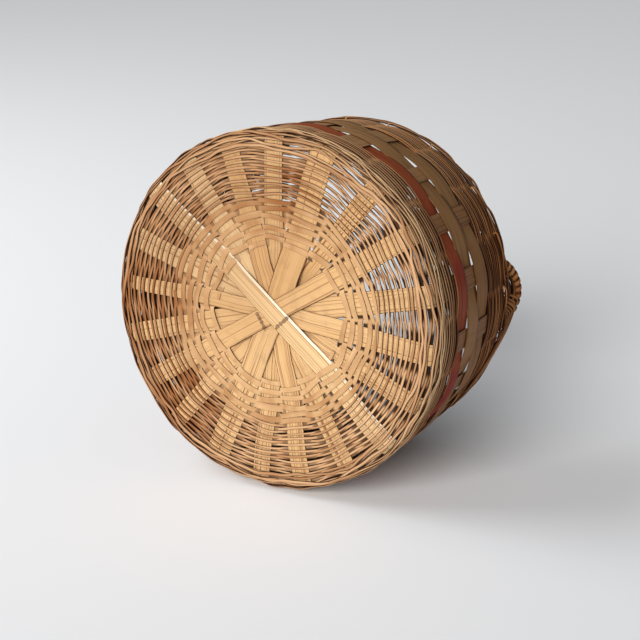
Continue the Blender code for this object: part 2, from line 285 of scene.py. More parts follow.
def meridian(distance):
    """Radius, height and outward normal of the stakes' middle surface at distances from the hub.

    The base swells up round the hub: one less the square of the share, squared, times one more
    than the swell times the same square. The heel is a quarter circle, and the wall draws in
    along a parabola.
    """
    d = np.abs(distance)
    share = np.clip(d / DOME_RADIUS, 0, 1)
    fall = 1 - share**2
    slope = 2 * DOME_RISE * share * fall * (DOME_SWELL - 2 - 3 * DOME_SWELL * share**2) / DOME_RADIUS
    turn = np.clip((d - BEND_START) / HEEL_BEND, 0, math.pi / 2)
    rise = np.maximum(d - WALL_START, 0)
    drawn = rise / (STAKE_TOP - WALL_FOOT)
    lean = -2 * DRAW_IN * drawn / (STAKE_TOP - WALL_FOOT)
    radius = np.where(d < BEND_START, d, BEND_START + HEEL_BEND * np.sin(turn) - DRAW_IN * drawn**2)
    height = LEVEL + DOME_RISE * fall**2 * (1 + DOME_SWELL * share**2) + HEEL_BEND * (1 - np.cos(turn)) + rise
    ahead_r, ahead_z = np.cos(turn) + lean, np.sin(turn) + slope
    length = np.hypot(ahead_r, ahead_z)
    return radius, height, ahead_z / length, -ahead_r / length


def place(angle, distance, out=0.0):
    """Points of the basket's surface at an angle and a distance from the hub, moved outwards."""
    radius, height, normal_r, normal_z = meridian(distance)
    reach = radius + out * normal_r
    return spread(reach * np.cos(angle), reach * np.sin(angle), height + out * normal_z)


def outward(angle, distance):
    """Outward normals of the basket's surface."""
    _, _, normal_r, normal_z = meridian(distance)
    return spread(normal_r * np.cos(angle), normal_r * np.sin(angle), normal_z)


def between_ends(inner, outer, stake, distance):
    """A spoke's value at a distance: a smooth step from the inner base's value to the outer's."""
    share = smooth((np.abs(distance) - INNER_AT) / (OUTER_AT - INNER_AT))
    stake = np.mod(stake, STAKES)
    return np.array(inner)[stake] * (1 - share) + np.array(outer)[stake] * share


def spoke_angle(stake, distance):
    """Direction of a spoke, counted round from the first one without end, at a distance."""
    stray = between_ends(STRAY_INNER, STRAY_OUTER, stake, distance)
    return np.radians(FIRST_SPOKE + SPOKE_STEP * stake + stray)


def spoke_width(stake, distance):
    """Width of a spoke at a distance: up to a tenth less up the wall than on the base."""
    width = between_ends(WIDTH_INNER, WIDTH_OUTER, stake, distance) / 1000
    return width * (1 - 0.10 * smooth((np.abs(distance) - OUTER_AT) / 0.15))


def unit(vectors):
    """The vectors with length 1."""
    return vectors / np.linalg.norm(vectors, axis=-1, keepdims=True)


def frames(path, out, closed=False):
    """Side and lift directions along a path: square to it and to each other, lift nearest to out."""
    ahead = unit(np.roll(path, -1, 0) - np.roll(path, 1, 0) if closed else np.gradient(path, axis=0))
    side = unit(np.cross(out, ahead))
    return side, np.cross(ahead, side)


def ring_section(sides, power):
    """Across and lift of a rounded section as shares of half its width and half its thickness.

    A superellipse: the cosine and the sine of a full turn, each raised to two over the power.
    """
    turn = 2 * math.pi * (np.arange(sides) + 0.5) / sides
    across, lift = np.cos(turn), np.sin(turn)
    return np.sign(across) * np.abs(across) ** (2 / power), np.sign(lift) * np.abs(lift) ** (2 / power)


def flat_section(count):
    """Across and side of a flat section: from edge to edge on its face, where the side is 1, and
    back behind it, where the side is -1."""
    face = np.linspace(1.0, -1.0, count)
    return np.concatenate([face, face[-2:0:-1]]), np.concatenate([np.ones(count), -np.ones(count - 2)])


def carry(path, side, lift, over, height):
    """A grid of points: each point of the path moved to the side by over and lifted by height."""
    return path[:, None] + side[:, None] * over[..., None] + lift[:, None] * height[..., None]


def sweep(path, out, width, thick, shape, seed, tone=None, closed=False):
    """A tube: a rounded section carried along a path, width across and thick outwards.

    The shape is the section's sides and power. Returns the grid of points, the grain of each
    (along, across and seed) and its tone: the path's two tones, and the lift of the section.
    """
    side, lift = frames(path, out, closed)
    across, up = ring_section(*shape)
    width = np.broadcast_to(width, len(path))[:, None]
    thick = np.broadcast_to(thick, len(path))[:, None]
    over = across * width / 2
    steps = np.linalg.norm(np.diff(path, axis=0), axis=1)
    along = np.concatenate([[0.0], np.cumsum(steps)])
    if tone is None:
        tone = np.ones((len(path), 2))
    grain = spread(along[:, None], over, seed)
    return carry(path, side, lift, over, up * thick / 2), grain, spread(tone[:, :1], tone[:, 1:2], up), closed


def laid(angle, distance, out, *section, **more):
    """A tube laid along the basket's surface, at a distance outside the stakes' middle surface."""
    return sweep(place(angle, distance, out), outward(angle, distance), *section, **more)


def tube_faces(count, sides, closed, first):
    """Corner numbers of a tube's faces: a quad for each step and side, and a cap at each open end."""
    i = np.arange(count if closed else count - 1)[:, None]
    j = np.arange(sides)[None, :]
    ahead, beside = (i + 1) % count, (j + 1) % sides
    quads = np.stack([i * sides + j, i * sides + beside, ahead * sides + beside, ahead * sides + j], -1)
    caps = [] if closed else [np.arange(sides)[::-1], (count - 1) * sides + np.arange(sides)]
    return quads.reshape(-1, 4) + first, [cap + first for cap in caps]


def add_object(name, data):
    """A new object of the scene, unturned at the origin."""
    obj = bpy.data.objects.new(name, data)
    bpy.context.scene.collection.objects.link(obj)
    return obj


def make_piece(name, tubes, finish, nodes):
    """One object from tubes, with its grain and tone as attributes, in place of CAD nodes."""
    points, grain, tone = (np.concatenate([tube[part].reshape(-1, 3) for tube in tubes]) for part in range(3))
    quads, caps, first = [], [], 0
    for tube in tubes:
        count, sides = tube[0].shape[:2]
        made, ends = tube_faces(count, sides, tube[3], first)
        quads.append(made)
        caps += ends
        first += count * sides
    quads = np.concatenate(quads)
    corners = np.concatenate([quads.ravel(), *caps]).astype(np.int32)
    starts = np.arange(len(quads)) * 4
    if caps:
        starts = np.concatenate([starts, 4 * len(quads) + np.cumsum([0] + [len(cap) for cap in caps[:-1]])])
    mesh = bpy.data.meshes.new(name)
    mesh.vertices.add(len(points))
    mesh.vertices.foreach_set("co", points.ravel())
    mesh.loops.add(len(corners))
    mesh.loops.foreach_set("vertex_index", corners)
    mesh.polygons.add(len(starts))
    mesh.polygons.foreach_set("loop_start", starts.astype(np.int32))
    mesh.polygons.foreach_set("use_smooth", np.ones(len(starts), bool))
    mesh.update(calc_edges=True)
    for attribute, values in (("grain", grain), ("tone", tone)):
        data = mesh.attributes.new(attribute, "FLOAT_VECTOR", "POINT").data
        data.foreach_set("vector", values.ravel())
    mesh.materials.append(finish)
    obj = add_object(name, mesh)
    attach(obj, "root")
    if nodes:
        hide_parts(*nodes)


def splint_stations():
    """Distances along a splint, from its far rim through the hub to its near one: closer at the
    hub and the heel than on the wall."""
    hub_end, close, apart = 0.072, 0.0015, 0.003
    base = [np.arange(0, hub_end, close), np.arange(hub_end, BEND_START, apart)]
    wall = [np.linspace(BEND_START, WALL_START, 12), np.linspace(WALL_START, along_wall(STAKE_TOP), 34)[1:]]
    reach = np.concatenate(base + wall)
    return np.concatenate([-reach[:0:-1], reach])


def splint_path(splint, t):
    """Angle and distance from the hub along a splint, whose two halves bend into each other.

    The heading runs smoothly from the far spoke's line to the near one's over the hub.
    """
    bend = 0.045
    near = spoke_angle(splint, t)
    far = spoke_angle(splint + SPLINTS, t) - math.pi
    heading = far + (near - far) * smooth((t + bend) / (2 * bend))
    return np.where(t < 0, heading + math.pi, heading), np.abs(t)


def splint_width(splint, t):
    """Width along a splint, a little more where the spokes part, with slightly uneven edges.

    Over the hub it is a smooth step from the far spoke's width to the near one's.
    """
    change, more, uneven = 0.06, 0.0011, 0.00035
    more_from, more_to, ease = 0.045, 0.086, 0.01
    near = spoke_width(splint, t)
    far = spoke_width(splint + SPLINTS, t)
    width = far + (near - far) * smooth((t + change) / (2 * change))
    width = width + more * smooth((np.abs(t) - more_from) / ease) * smooth((more_to - np.abs(t)) / ease)
    return width + uneven * wander(40 + splint, t / 0.03)


def hub_lifts(t):
    """How far each splint is lifted at the hub, where it is draped over those laid before it.

    At every station it clears whatever lies under its width, and comes down at one in six.
    """
    across = np.linspace(-0.5, 0.5, 11)
    lifts = {}
    for splint in LAYING_ORDER:
        angle = splint_path(splint, t)[0]
        heading = np.where(t < 0, angle - math.pi, angle)
        along, side = t[:, None], across * splint_width(splint, t)[:, None]
        needed = np.zeros(len(t))
        for other, lift in lifts.items():
            other_angle = splint_path(other, t)[0]
            turn = (np.where(t < 0, other_angle - math.pi, other_angle) - heading)[:, None]
            other_along = along * np.cos(turn) + side * np.sin(turn)
            other_side = side * np.cos(turn) - along * np.sin(turn)
            covered = np.abs(other_side) <= splint_width(other, t)[:, None] / 2 + SEAT
            over = np.interp(other_along, t, lift) + SPLINT_THICK + SEAT
            needed = np.maximum(needed, np.where(covered & (np.abs(along) < HUB_REACH), over, 0).max(axis=1))
        fall = np.abs(t[:, None] - t[None, :]) * DRAPE_SLOPE
        lifts[splint] = (needed[None, :] - fall).max(axis=1).clip(min=0.0)
    return lifts


def splint_tube(splint, t, lift):
    """One splint: a flat section, crowned and ridged on its face, carried from rim to rim.

    The third part of its tone is 1 on a pale spoke, 3 less at the very edges, where the finish paints
    shade, and 6 more along one edge of the outermost splint, where it paints a highlight.
    """
    crown, ridge, ridge_step, ridge_length = 0.00016, 0.00006, 0.0026, 0.30
    angle, distance = splint_path(splint, t)
    path = place(angle, distance)
    path[:, 2] += lift
    side, up = frames(path, outward(angle, distance))
    half = splint_width(splint, t)[:, None] / 2
    rim, top = flat_section(23)
    over = rim * half
    ridges = ridge * wander(60 + splint, over / ridge_step, t[:, None] / ridge_length)
    height = top * (SPLINT_THICK / 2 * (1 - 0.55 * np.abs(rim) ** 8))
    height = height + crown * (1 - rim**2) + np.where(top > 0, ridges, 0)
    points = carry(path, side, up, over, height)
    near = smooth((t + 0.03) / 0.06)[:, None]
    looks = [[float(stake in kind) for kind in (RIDGED, WARM, PALE)] for stake in (splint, splint + SPLINTS)]
    tone = near * np.array(looks[0]) + (1 - near) * np.array(looks[1])
    tone = np.broadcast_to(tone[:, None], points.shape).copy()
    # Marks the very edges for painted shade: the dark slits between the splints
    tone[..., 2] -= 3 * smooth((np.abs(over) - half + 0.0006) / 0.0005)
    # Marks one edge of the outermost splint for a painted highlight
    if splint == LAYING_ORDER[0]:
        tone[..., 2] += 6 * smooth((over - half + 0.0032) / 0.0012) * (top > 0)
    return points, spread(t[:, None], over, splint * 0.37), tone, False


def looseness(x, y):
    """0 where the weave is beaten tight and 1 where it is loose: the sum of smooth round spots."""
    return sum(1 - smooth(np.hypot(x - a, y - b) / reach * 1.6 - 0.6) for (a, b), reach in LOOSE).clip(0, 1)


def weaver_tube(start, pitches, rounds, first_stake, width, thick, shape, samples, seed, off_hub=0.0):
    """One of two weavers that chase each other round the stakes, outside one and inside the next.

    It climbs two rows a round while the pitch of the rows changes evenly. Its level is the
    cosine of its way across each gap between two stakes and stays full over the stakes, and
    its rows wander with the place, so that neighbours bunch and part together. Where it lies
    inside, a tight weave presses it wider, so that it fills the holes beside the stakes, and
    the finish paints these inside stretches with dark shade. A loose one leaves it narrower, and
    its inner parts slip away from the hub. A ring off the hub is moved by the cosine of the
    angle, less and less from the first row to the last.
    """
    held, least_half, clear, bulge, wall_from = 0.465, 0.0014, 0.00012, 0.00022, 0.004
    u = np.arange(rounds * STAKES * samples + 1) / samples
    rows = 2.0 * rounds + 1
    row = 0.5 + 2 * u / STAKES
    distance = start + pitches[0] * row + (pitches[1] - pitches[0]) * row**2 / (2 * rows)
    pitch = pitches[0] + (pitches[1] - pitches[0]) * row / rows
    step = np.minimum(np.floor(u).astype(int), rounds * STAKES - 1)
    before = step + first_stake
    share = u - step
    one, two = spoke_angle(before, distance), spoke_angle(before + 1, distance)
    angle = one + share * (two - one)
    radius = meridian(distance)[0]
    x, y = radius * np.cos(angle), radius * np.sin(angle)
    climb = np.maximum(distance - BEND_START, 0)
    arc = (two - one) * radius
    first_edge = held * spoke_width(before, distance)
    last_edge = arc - held * spoke_width(before + 1, distance)
    middle, half = (first_edge + last_edge) / 2, np.maximum((last_edge - first_edge) / 2, least_half)
    across = np.clip((share * arc - middle) / half * 0.5 + 0.5, 0, 1)
    level = np.where(step % 2 == 0, 1.0, -1.0) * np.cos(math.pi * across)
    shift = 0.50 * wander(seed, x / 0.05, y / 0.05, climb / 0.03)
    shift += 0.34 * wander(seed + 1, u / 1.6, row * 0.9)
    ends = smooth(row - 0.6) * smooth(rows - row)
    loose = np.where(climb > wall_from, 0.0, looseness(x, y))
    tight = np.where(climb > wall_from, 0.6, 1 - 0.9 * loose)
    distance = distance + pitch * (shift * (0.25 + 0.75 * ends) + 0.15 * (1 - level) * ends * (1 - tight))
    distance = distance + off_hub * np.cos(angle - OFF_HUB_TURN) * (1 - smooth(row / rows))
    bow = bulge * level * np.cos(2 * math.pi * (share - np.round(share)))
    out = level * (SPLINT_THICK / 2 + thick / 2 + clear) + bow
    size = 1 + 0.14 * wander(seed + 2, u / 4.0, row * 0.35)
    taper = 0.7 + 0.3 * smooth(np.minimum(u, u[-1] - u) / 2)
    wide = width * size * taper * (1 + 0.70 * tight * smooth(-level * 1.3)) * (1 - 0.28 * loose)
    tone = np.stack([level, row / rows], -1)
    return laid(angle, distance, out, wide, thick * taper * size, shape, seed * 0.61, tone)


def heel_bundle():
    """Long strands laid round the heel outside the weave: each wanders to and fro over the bend."""
    angle = full_turn(900)
    slow, quick = on_circle(angle, 2.2), on_circle(angle, 6.0)
    tubes = []
    for number in range(BUNDLE_COUNT):
        distance = BUNDLE_FROM + BUNDLE_STEP * number + 0.0026 * wander(200 + number, *slow)
        distance = distance + 0.0008 * wander(210 + number, *quick)
        out = 0.0026 + 0.0007 * wander(220 + number, *quick)
        width = 0.0029 * (1 + 0.22 * wander(240 + number, *slow))
        tubes.append(laid(angle, distance, out, width, 0.0019, (7, 2.2), 0.17 * number, closed=True))
    return tubes


def band_tube(foot, width, over_even, thick, seed):
    """One wide band round the wall once, over every other stake, with uneven edges.

    Its level runs along a smooth step across each gap. The third part of its tone falls with
    the sixth power of the way from its middle line to its edges.
    """
    samples, held, clear, bulge, cup = 28, 0.47, 0.0002, 0.0003, 0.0002
    u = np.arange(STAKES * samples) / samples
    before = np.floor(u).astype(int)
    share = u - before
    middle = along_wall(foot + width / 2)
    one, two = spoke_angle(before, middle), spoke_angle(before + 1, middle)
    angle = one + share * (two - one)
    uneven = on_circle(angle, 3)
    distance = middle + 0.0009 * wander(seed, *uneven)
    arc = (two - one) * meridian(distance)[0]
    first_edge = held * spoke_width(before, distance)
    last_edge = arc - held * spoke_width(before + 1, distance)
    across = smooth((share * arc - first_edge) / (last_edge - first_edge))
    level = np.where((before % 2 == 0) == over_even, 1.0, -1.0) * (1 - 2 * across)
    bow = bulge * np.cos(math.pi * (share - np.round(share))) ** 2
    path = place(angle, distance, level * (SPLINT_THICK / 2 + thick / 2 + clear + bow))
    side, up = frames(path, outward(angle, distance), True)
    rim, top = flat_section(15)
    over = rim * (width / 2 + BAND_SPREAD + 0.0006 * wander(seed + 1, *uneven))[:, None]
    height = top * thick / 2 * (1 - 0.5 * np.abs(rim) ** 8) + cup * (1 - rim**2) * level[:, None]
    grain = spread((angle * STAKE_RADIUS)[:, None], over, seed * 0.43)
    tone = spread(level[:, None], 0.0, 1 - 1.4 * np.abs(rim) ** 6)
    return carry(path, side, up, over, height), grain, tone, True


def hoop_tubes(sizes, facing):
    """Three strands of a hoop, one over another, each bowing away from the stakes here and there.

    The top one also arches up between the stakes as a sine does.
    """
    angle = full_turn(600)
    uneven = on_circle(angle, 4)
    arch = np.abs(np.sin(SPLINTS * (angle - math.radians(FIRST_SPOKE))))
    tubes = []
    for number in range(3):
        height = STAKE_TOP - 0.0002 - 0.0023 * number + 0.0006 * wander(70 + number, *uneven)
        bow = 0.0014 + 0.0007 * wander(75 + number + facing, *uneven)
        if number == 0:
            height = height + 0.0036 * arch * np.clip(0.45 + 0.6 * wander(90 + facing, *uneven), 0, 1)
            bow = bow + 0.0016 * arch
        out = facing * (SPLINT_THICK / 2 + SEAT + 0.0008 + bow)
        width = sizes.hoop_height / 2.4 * (1 + 0.12 * wander(80 + number, *uneven))
        tubes.append(laid(angle, along_wall(height), out, width, 0.0017, (9, 2.4), 0.3 * number, closed=True))
    return tubes


def lashing_tube(sizes):
    """The strand that binds the hoops: one turn in every gap, slanting outside across each stake.

    Each turn is seven points, given by their share of the way to the next stake, their distance
    along the stakes and how far outside they lie. A smooth curve runs through them all.
    """
    clear = SPLINT_THICK / 2 + SEAT + 0.0034
    top, foot = along_wall(STAKE_TOP + 0.0009), along_wall(STAKE_TOP - sizes.hoop_height - 0.0011)
    middle = (top + foot) / 2
    turn = np.array(
        [
            [0.00, middle, clear],
            [0.42, top - 0.001, clear * 0.95],
            [0.50, top, 0.0],
            [0.52, middle, -clear],
            [0.54, foot, -clear * 0.8],
            [0.56, foot, 0.0],
            [0.60, foot + 0.001, clear],
        ]
    )
    angle = (spoke_angle(np.arange(STAKES), middle)[:, None] + turn[:, 0] * math.pi / SPLINTS).ravel()
    path = through(place(angle, np.tile(turn[:, 1], STAKES), np.tile(turn[:, 2], STAKES)), 7)
    centre = place(np.arctan2(path[:, 1], path[:, 0]), middle)
    return sweep(path, unit(path - centre + 1e-6), 0.0017, 0.0010, (7, 2.5), 0.9, closed=True)


def through(knots, steps):
    """A closed smooth curve through points, in cubic pieces from each point to the next.

    At each point it runs along half the step between the two points beside it.
    """
    share = np.arange(steps)[:, None, None] / steps
    a, b, c, d = (np.roll(knots, shift, 0) for shift in (1, 0, -1, -2))
    curve = 0.5 * (
        2 * b + (c - a) * share + (2 * a - 5 * b + 4 * c - d) * share**2 + (3 * b - a - 3 * c + d) * share**3
    )
    return np.swapaxes(curve, 0, 1).reshape(-1, 3)


def ear_path(sizes, facing, share=1.0):
    """Points along an ear: up a leg inside the wall, over the leaning arch and down the other leg.

    The arch is half an ellipse that leans by the square of a sine. A share below 1 gives a
    smaller arch within it, at the same distance inside the wall.
    """
    back = -(SPLINT_THICK / 2 + SEAT + HOOP_THICK + SEAT + sizes.rod_radius)
    reach = meridian(along_wall(STAKE_TOP))[0] + back
    wide = sizes.ear_half_width * share
    foot = math.asin(wide / reach)
    turn = np.linspace(0, math.pi, 80)
    lean = math.sqrt(reach**2 - wide**2) + share * sizes.ear_lean * np.sin(turn) ** 2
    rise = STAKE_TOP + SEAT + share * sizes.ear_rise * np.sin(turn)
    height = np.linspace(STAKE_TOP - EAR_LEG, STAKE_TOP - 0.0005, 30)
    one, two = (place(np.full(30, side * foot), along_wall(height), back) for side in (-1, 1))
    x, y, z = np.concatenate([one, np.stack([lean, -wide * np.cos(turn), rise], -1), two[::-1]]).T
    angle = EAR_TURN + (0.0 if facing > 0 else math.pi)
    cosine, sine = math.cos(angle), math.sin(angle)
    return np.stack([x * cosine - y * sine, x * sine + y * cosine, z], -1)


def sheaf_tubes(facing):
    """Strands that rise inside the rim, come out through an ear's loop and sweep down on to the wall.

    Over the angle from the ear's middle their height falls along a smooth step, while their
    distance from the wall shrinks with the square of what is left of the way. Both ends are
    tucked in behind the weave, and the strands end one after another.
    """
    share = np.linspace(0, 1, 90)
    tubes = []
    for number in range(9):
        degrees = 3 + 0.5 * number + (37 + 15 * (0.382 * number % 1)) * share
        angle = np.radians(degrees) + (0.0 if facing > 0 else math.pi)
        rising = 1 - smooth(share * 5.5)
        fall = 1 - smooth((degrees - 2) / 46)
        height = 0.1590 + 0.0480 * fall - number * (0.0022 - 0.0006 * smooth(share * 4)) - 0.030 * rising
        height = height + 0.0012 * wander(130 + number, share * 2.5) * share
        out = 0.0024 + (0.0072 - 0.0006 * number) * (1 - share) ** 2
        out = out + 0.0006 * wander(120 + number, share * 1.5)
        out = out - 0.0205 * rising - 0.0060 * smooth((share - 0.88) / 0.12)
        width = 0.0027 * (1 - 0.30 * share)
        tubes.append(laid(angle, along_wall(height), out, width, 0.0020, (8, 2.2), 0.31 * number))
    return tubes


def twist(path, radius, start, turns):
    """A line wound evenly about a path at a radius, from a starting share of a turn, and its rays."""
    ahead = unit(np.gradient(path, axis=0))
    side = unit(np.cross(ahead, (0.2, 0.1, 1.0)))
    turn = (start + turns * np.linspace(0, 1, len(path)))[:, None] * 2 * math.pi
    ray = np.cos(turn) * side + np.sin(turn) * np.cross(ahead, side)
    return path + radius * ray, ray


def ear_tubes(sizes, facing):
    """The bundle of an ear: five strands laid round its path with a slow twist, and two smaller
    arches of two strands within it, whose tone is that of strands inside the weave, behind the spokes, so
    that they get the same painted shade."""
    path = ear_path(sizes, facing)
    tubes = []
    for number in range(5):
        line, ray = twist(path, sizes.rod_radius * 0.52, number / 5, 0.8)
        tubes.append(sweep(line, ray, *EAR_STRAND, (8, 2.3), 0.2 * number))
    # Tone of strands behind the spokes: the inner arches get painted shade
    inside = np.tile((-1.0, 0.5), (len(path), 1))
    for number, share in enumerate((0.74, 0.56)):
        path = ear_path(sizes, facing, share)
        for strand in range(2):
            line, ray = twist(path, 0.0016, strand / 2, 1.0 + 0.3 * number)
            tubes.append(sweep(line, ray, *EAR_STRAND, (7, 2.3), 0.3 * number, inside))
    return tubes


def wrap_tube(sizes, facing):
    """The strip wound fifteen times round an ear's arch."""
    path = ear_path(sizes, facing)[32:-32]
    steps = np.linspace(0, len(path) - 1, 800)
    fine = np.stack([np.interp(steps, np.arange(len(path)), path[:, axis]) for axis in range(3)], -1)
    line, ray = twist(fine, sizes.rod_radius + 0.0004, 0.1, 15.0)
    return sweep(line, ray, 0.0052, 0.0020, (8, 2.2), 0.5)


class Value:
    """One value of a shader. Arithmetic on it adds Math nodes to its finish."""

    def __init__(self, finish, socket):
        self.finish = finish
        self.socket = socket

    def math(self, operation, one, two):
        """A Math node on two values, of which one may be a number."""
        return self.finish.add("ShaderNodeMath", {"operation": operation}, {0: one, 1: two})

    def __add__(self, other):
        return self.math("ADD", self, other)

    def __sub__(self, other):
        return self.math("SUBTRACT", self, other)

    def __rsub__(self, other):
        return self.math("SUBTRACT", other, self)

    def __mul__(self, other):
        return self.math("MULTIPLY", self, other)

    __radd__ = __add__
    __rmul__ = __mul__

    def between(self, low, high):
        """0 at low, 1 at high and a smooth step between. Low may be the larger one."""
        smoothed = {"interpolation_type": "SMOOTHSTEP"}
        return self.finish.add("ShaderNodeMapRange", smoothed, {0: self, 1: low, 2: high, 3: 0.0, 4: 1.0})


class Finish:
    """A material being made: a Principled shader, and the nodes that lead to it."""

    def __init__(self, name):
        self.material = bpy.data.materials.new(name)
        self.material.use_nodes = True
        self.tree = self.material.node_tree
        self.shader = self.tree.nodes["Principled BSDF"]

    def add(self, kind, settings, inputs, output=0):
        """Adds a node: sets its settings, then the values or links of its sockets."""
        node = self.tree.nodes.new(kind)
        for key, value in settings.items():
            setattr(node, key, value)
        for key, value in inputs.items():
            self.put(node.inputs[key], value)
        return Value(self, node.outputs[output])

    def put(self, socket, value):
        """Links a value to a socket, or sets the socket to a number, a vector or a colour."""
        if isinstance(value, Value):
            self.tree.links.new(value.socket, socket)
        elif socket.type == "RGBA":
            socket.default_value = (*value[:3], 1.0)
        else:
            socket.default_value = value

    def part(self, vector, axis):
        """One of the three parts of a vector."""
        return self.add("ShaderNodeSeparateXYZ", {}, {0: vector}, axis)

    def attribute(self, name):
        """The three parts of one of the piece's attributes."""
        vector = self.add("ShaderNodeAttribute", {"attribute_name": name}, {}, "Vector")
        return [self.part(vector, axis) for axis in range(3)]

    def position(self):
        """Object coordinates."""
        return self.add("ShaderNodeTexCoord", {}, {}, "Object")

    def noise(self, vector, scale, detail, roughness):
        """Noise of about 0 to 1 on a vector."""
        inputs = {"Vector": vector, "Scale": scale, "Detail": detail, "Roughness": roughness}
        return self.add("ShaderNodeTexNoise", {}, inputs)

    def streaks(self, along, across, seed, detail, roughness):
        """Noise drawn out along the grain, from the scaled parts of the grain."""
        vector = self.add("ShaderNodeCombineXYZ", {}, {0: along, 1: across, 2: seed})
        return self.noise(vector, 1.0, detail, roughness)

    def mix(self, factor, one, two):
        """Colour one where the factor is 0 and two where it is 1."""
        return self.add("ShaderNodeMix", {"data_type": "RGBA"}, {0: factor, 6: one, 7: two}, 2)

    def over(self, ground, *layers):
        """A ground colour with others laid over it in turn, each as strongly as its mask says."""
        for mask, colour in layers:
            ground = self.mix(mask, ground, colour)
        return ground

    def spot(self, position, centre, reach):
        """1 about a point of the basket, to a third of a reach, and falling smoothly to 0 at it."""
        away = self.add("ShaderNodeVectorMath", {"operation": "DISTANCE"}, {0: position, 1: centre}, "Value")
        return away.between(reach, reach * 0.35)

    def done(self, colour, roughness, height, depth, specular=0.08):
        """Links the colour, the roughness and a bump of the given depth, and returns the material."""
        self.put(self.shader.inputs["Base Color"], colour)
        self.put(self.shader.inputs["Roughness"], roughness)
        self.shader.inputs["Specular IOR Level"].default_value = specular
        bump = self.add("ShaderNodeBump", {}, {"Strength": 1.0, "Distance": depth, "Height": height})
        self.put(self.shader.inputs["Normal"], bump)
        return self.material


def splint_finish(colours):
    """Pale split wood: fine lines and ridges along the splint, warmer, paler or stained in places, with
    painted shade at the splints' edges and, partly, in the dark marks on the hub, a painted highlight along
    one edge of the outermost splint, and painted light on the upward side of the wall.
    """
    f = Finish("split_ash")
    along, across, seed = f.attribute("grain")
    ridged, warm, pale = f.attribute("tone")
    position = f.position()
    fine = f.streaks(along * 14.0, across * 1700.0, seed * 50.0, 4.0, 0.6)
    broad = f.streaks(along * 9.0, across * 260.0, seed * 31.0, 2.0, 0.5)
    drift = f.streaks(along * 3.0, across * 40.0, seed * 17.0, 2.0, 0.5)
    lines = f.streaks(along * 4.0, across * 760.0, seed * 9.0, 1.0, 0.4)
    grime = f.noise(position, 60.0, 3.0, 0.6)
    grooves = lines.between(0.56, 0.64) * (0.62 + 0.30 * ridged)
    climb = f.part(position, 2).between(*SPLINTS_AGE)
    marks = sum(f.spot(position, (*point, MARK_HEIGHT), MARK_REACH) for point in HUB_MARKS)
    body = f.over(
        colours.splint,
        (warm * 0.45, colours.splint_warm),
        (drift.between(0.35, 0.75) * 0.35, colours.splint_warm),
        (pale.between(0.0, 1.0) * 0.35, PALE_SPLINT),
        # Painted highlight along one edge of the outermost splint
        (pale.between(1.5, 5.0) * 0.85, EDGE_HIGHLIGHT),
        # Painted shade along the very edges of each splint
        (pale.between(-0.6, -2.2) * 0.75, colours.stain_and_shade),
        (broad.between(0.45, 0.8) * 0.30, colours.splint_grain),
        (grooves + fine.between(0.52, 0.85) * 0.25, colours.splint_grain),
        (climb * 0.92, f.mix(broad, colours.brown, WALL_SPLINT)),
        ((lines + fine).between(1.02, 1.22) * climb * 0.85, colours.stain_and_shade),
        # Painted light on the upward side of the wall
        (f.spot(position, *LIT_SIDE) * climb * 0.32, colours.splint),
        (f.spot(position, *DULLED) * 0.30, colours.splint_grain),
        (grime.between(0.55, 0.85) * 0.22, colours.stain_and_shade),
        # Dark marks on the hub: partly dirt, partly painted shade of the stacked splints' edges
        (marks.between(0.45, 1.05) * (0.35 + 0.5 * fine.between(0.35, 0.6)), colours.stain_and_shade),
    )
    height = fine * 0.35 - lines * (1.1 + 0.9 * ridged) + broad * 0.5
    return f.done(body, 0.52 + 0.2 * fine, height, 0.0006, 0.22)


def strand_finish(name, colours, light, dark, darkened, age=0.95):
    """Split strands: fibres along them, lighter and darker stretches, painted shade down their sides and
    where they pass behind the spokes, and painted light on the upward side of the wall.

    On the wall they turn to the colours of age, as fully as age says.
    """
    f = Finish(name)
    along, across, seed = f.attribute("grain")
    level, row, up = f.attribute("tone")
    position = f.position()
    z = f.part(position, 2)
    fibre = f.streaks(along * 50.0, across * 2200.0, seed * 23.0, 3.0, 0.6)
    stretch = f.streaks(along * 7.0, across * 60.0, seed * 11.0, 3.0, 0.6)
    rows = f.streaks(along * 4.0, row * 90.0, seed * 5.0, 2.0, 0.7)
    patch = f.noise(position, 24.0, 2.0, 0.5)
    climb = z.between(*STRANDS_AGE)
    browned = stretch.between(0.30, 0.55) * 0.75
    aged = f.over(
        colours.brown,
        (rows.between(0.56, 0.38) * 0.72, colours.stain_and_shade),
        (stretch.between(0.35, 0.75) * 0.40, colours.stain_and_shade),
        # Painted light on the upward side of the wall
        (f.spot(position, *LIT_SIDE) * 0.55, light),
        (rows.between(0.50, 0.60) * 0.70, WALL_STRAND),
    )
    body = f.over(
        light,
        (rows.between(0.56, 0.72) * (1 - stretch) * 0.7, PALE_STRAND),
        (rows.between(0.48, 0.34) * darkened, dark),
        (stretch.between(0.44, 0.62) * darkened, dark),
        (fibre.between(0.50, 0.75) * 0.40, dark),
        (patch.between(0.50, 0.72) * 0.30, dark),
        *((f.spot(position, *spot) * browned, colours.brown) for spot in BROWNED),
        (f.spot(position, *DULLED) * 0.30, colours.brown),
        (climb * age, aged),
        (z.between(*FOOT_BEGINS) * z.between(*FOOT_ENDS) * 0.65, FOOT_STRAND),
        # Painted shade down the sides and undersides of each strand
        (up.between(0.88, 0.30) * 0.93, f.mix(climb, BASE_SIDE_SHADE, WALL_SIDE_SHADE)),
        # Painted shade where the strands pass behind the spokes, deepest on the shaded side of the base
        (level.between(-0.15, -0.75) * (0.35 + 0.6 * f.spot(position, *SHADED)), SHADE_BEHIND_SPOKES),
    )
    return f.done(body, 0.46 + 0.22 * fibre, fibre * 0.6 + stretch * 0.4, 0.0003)


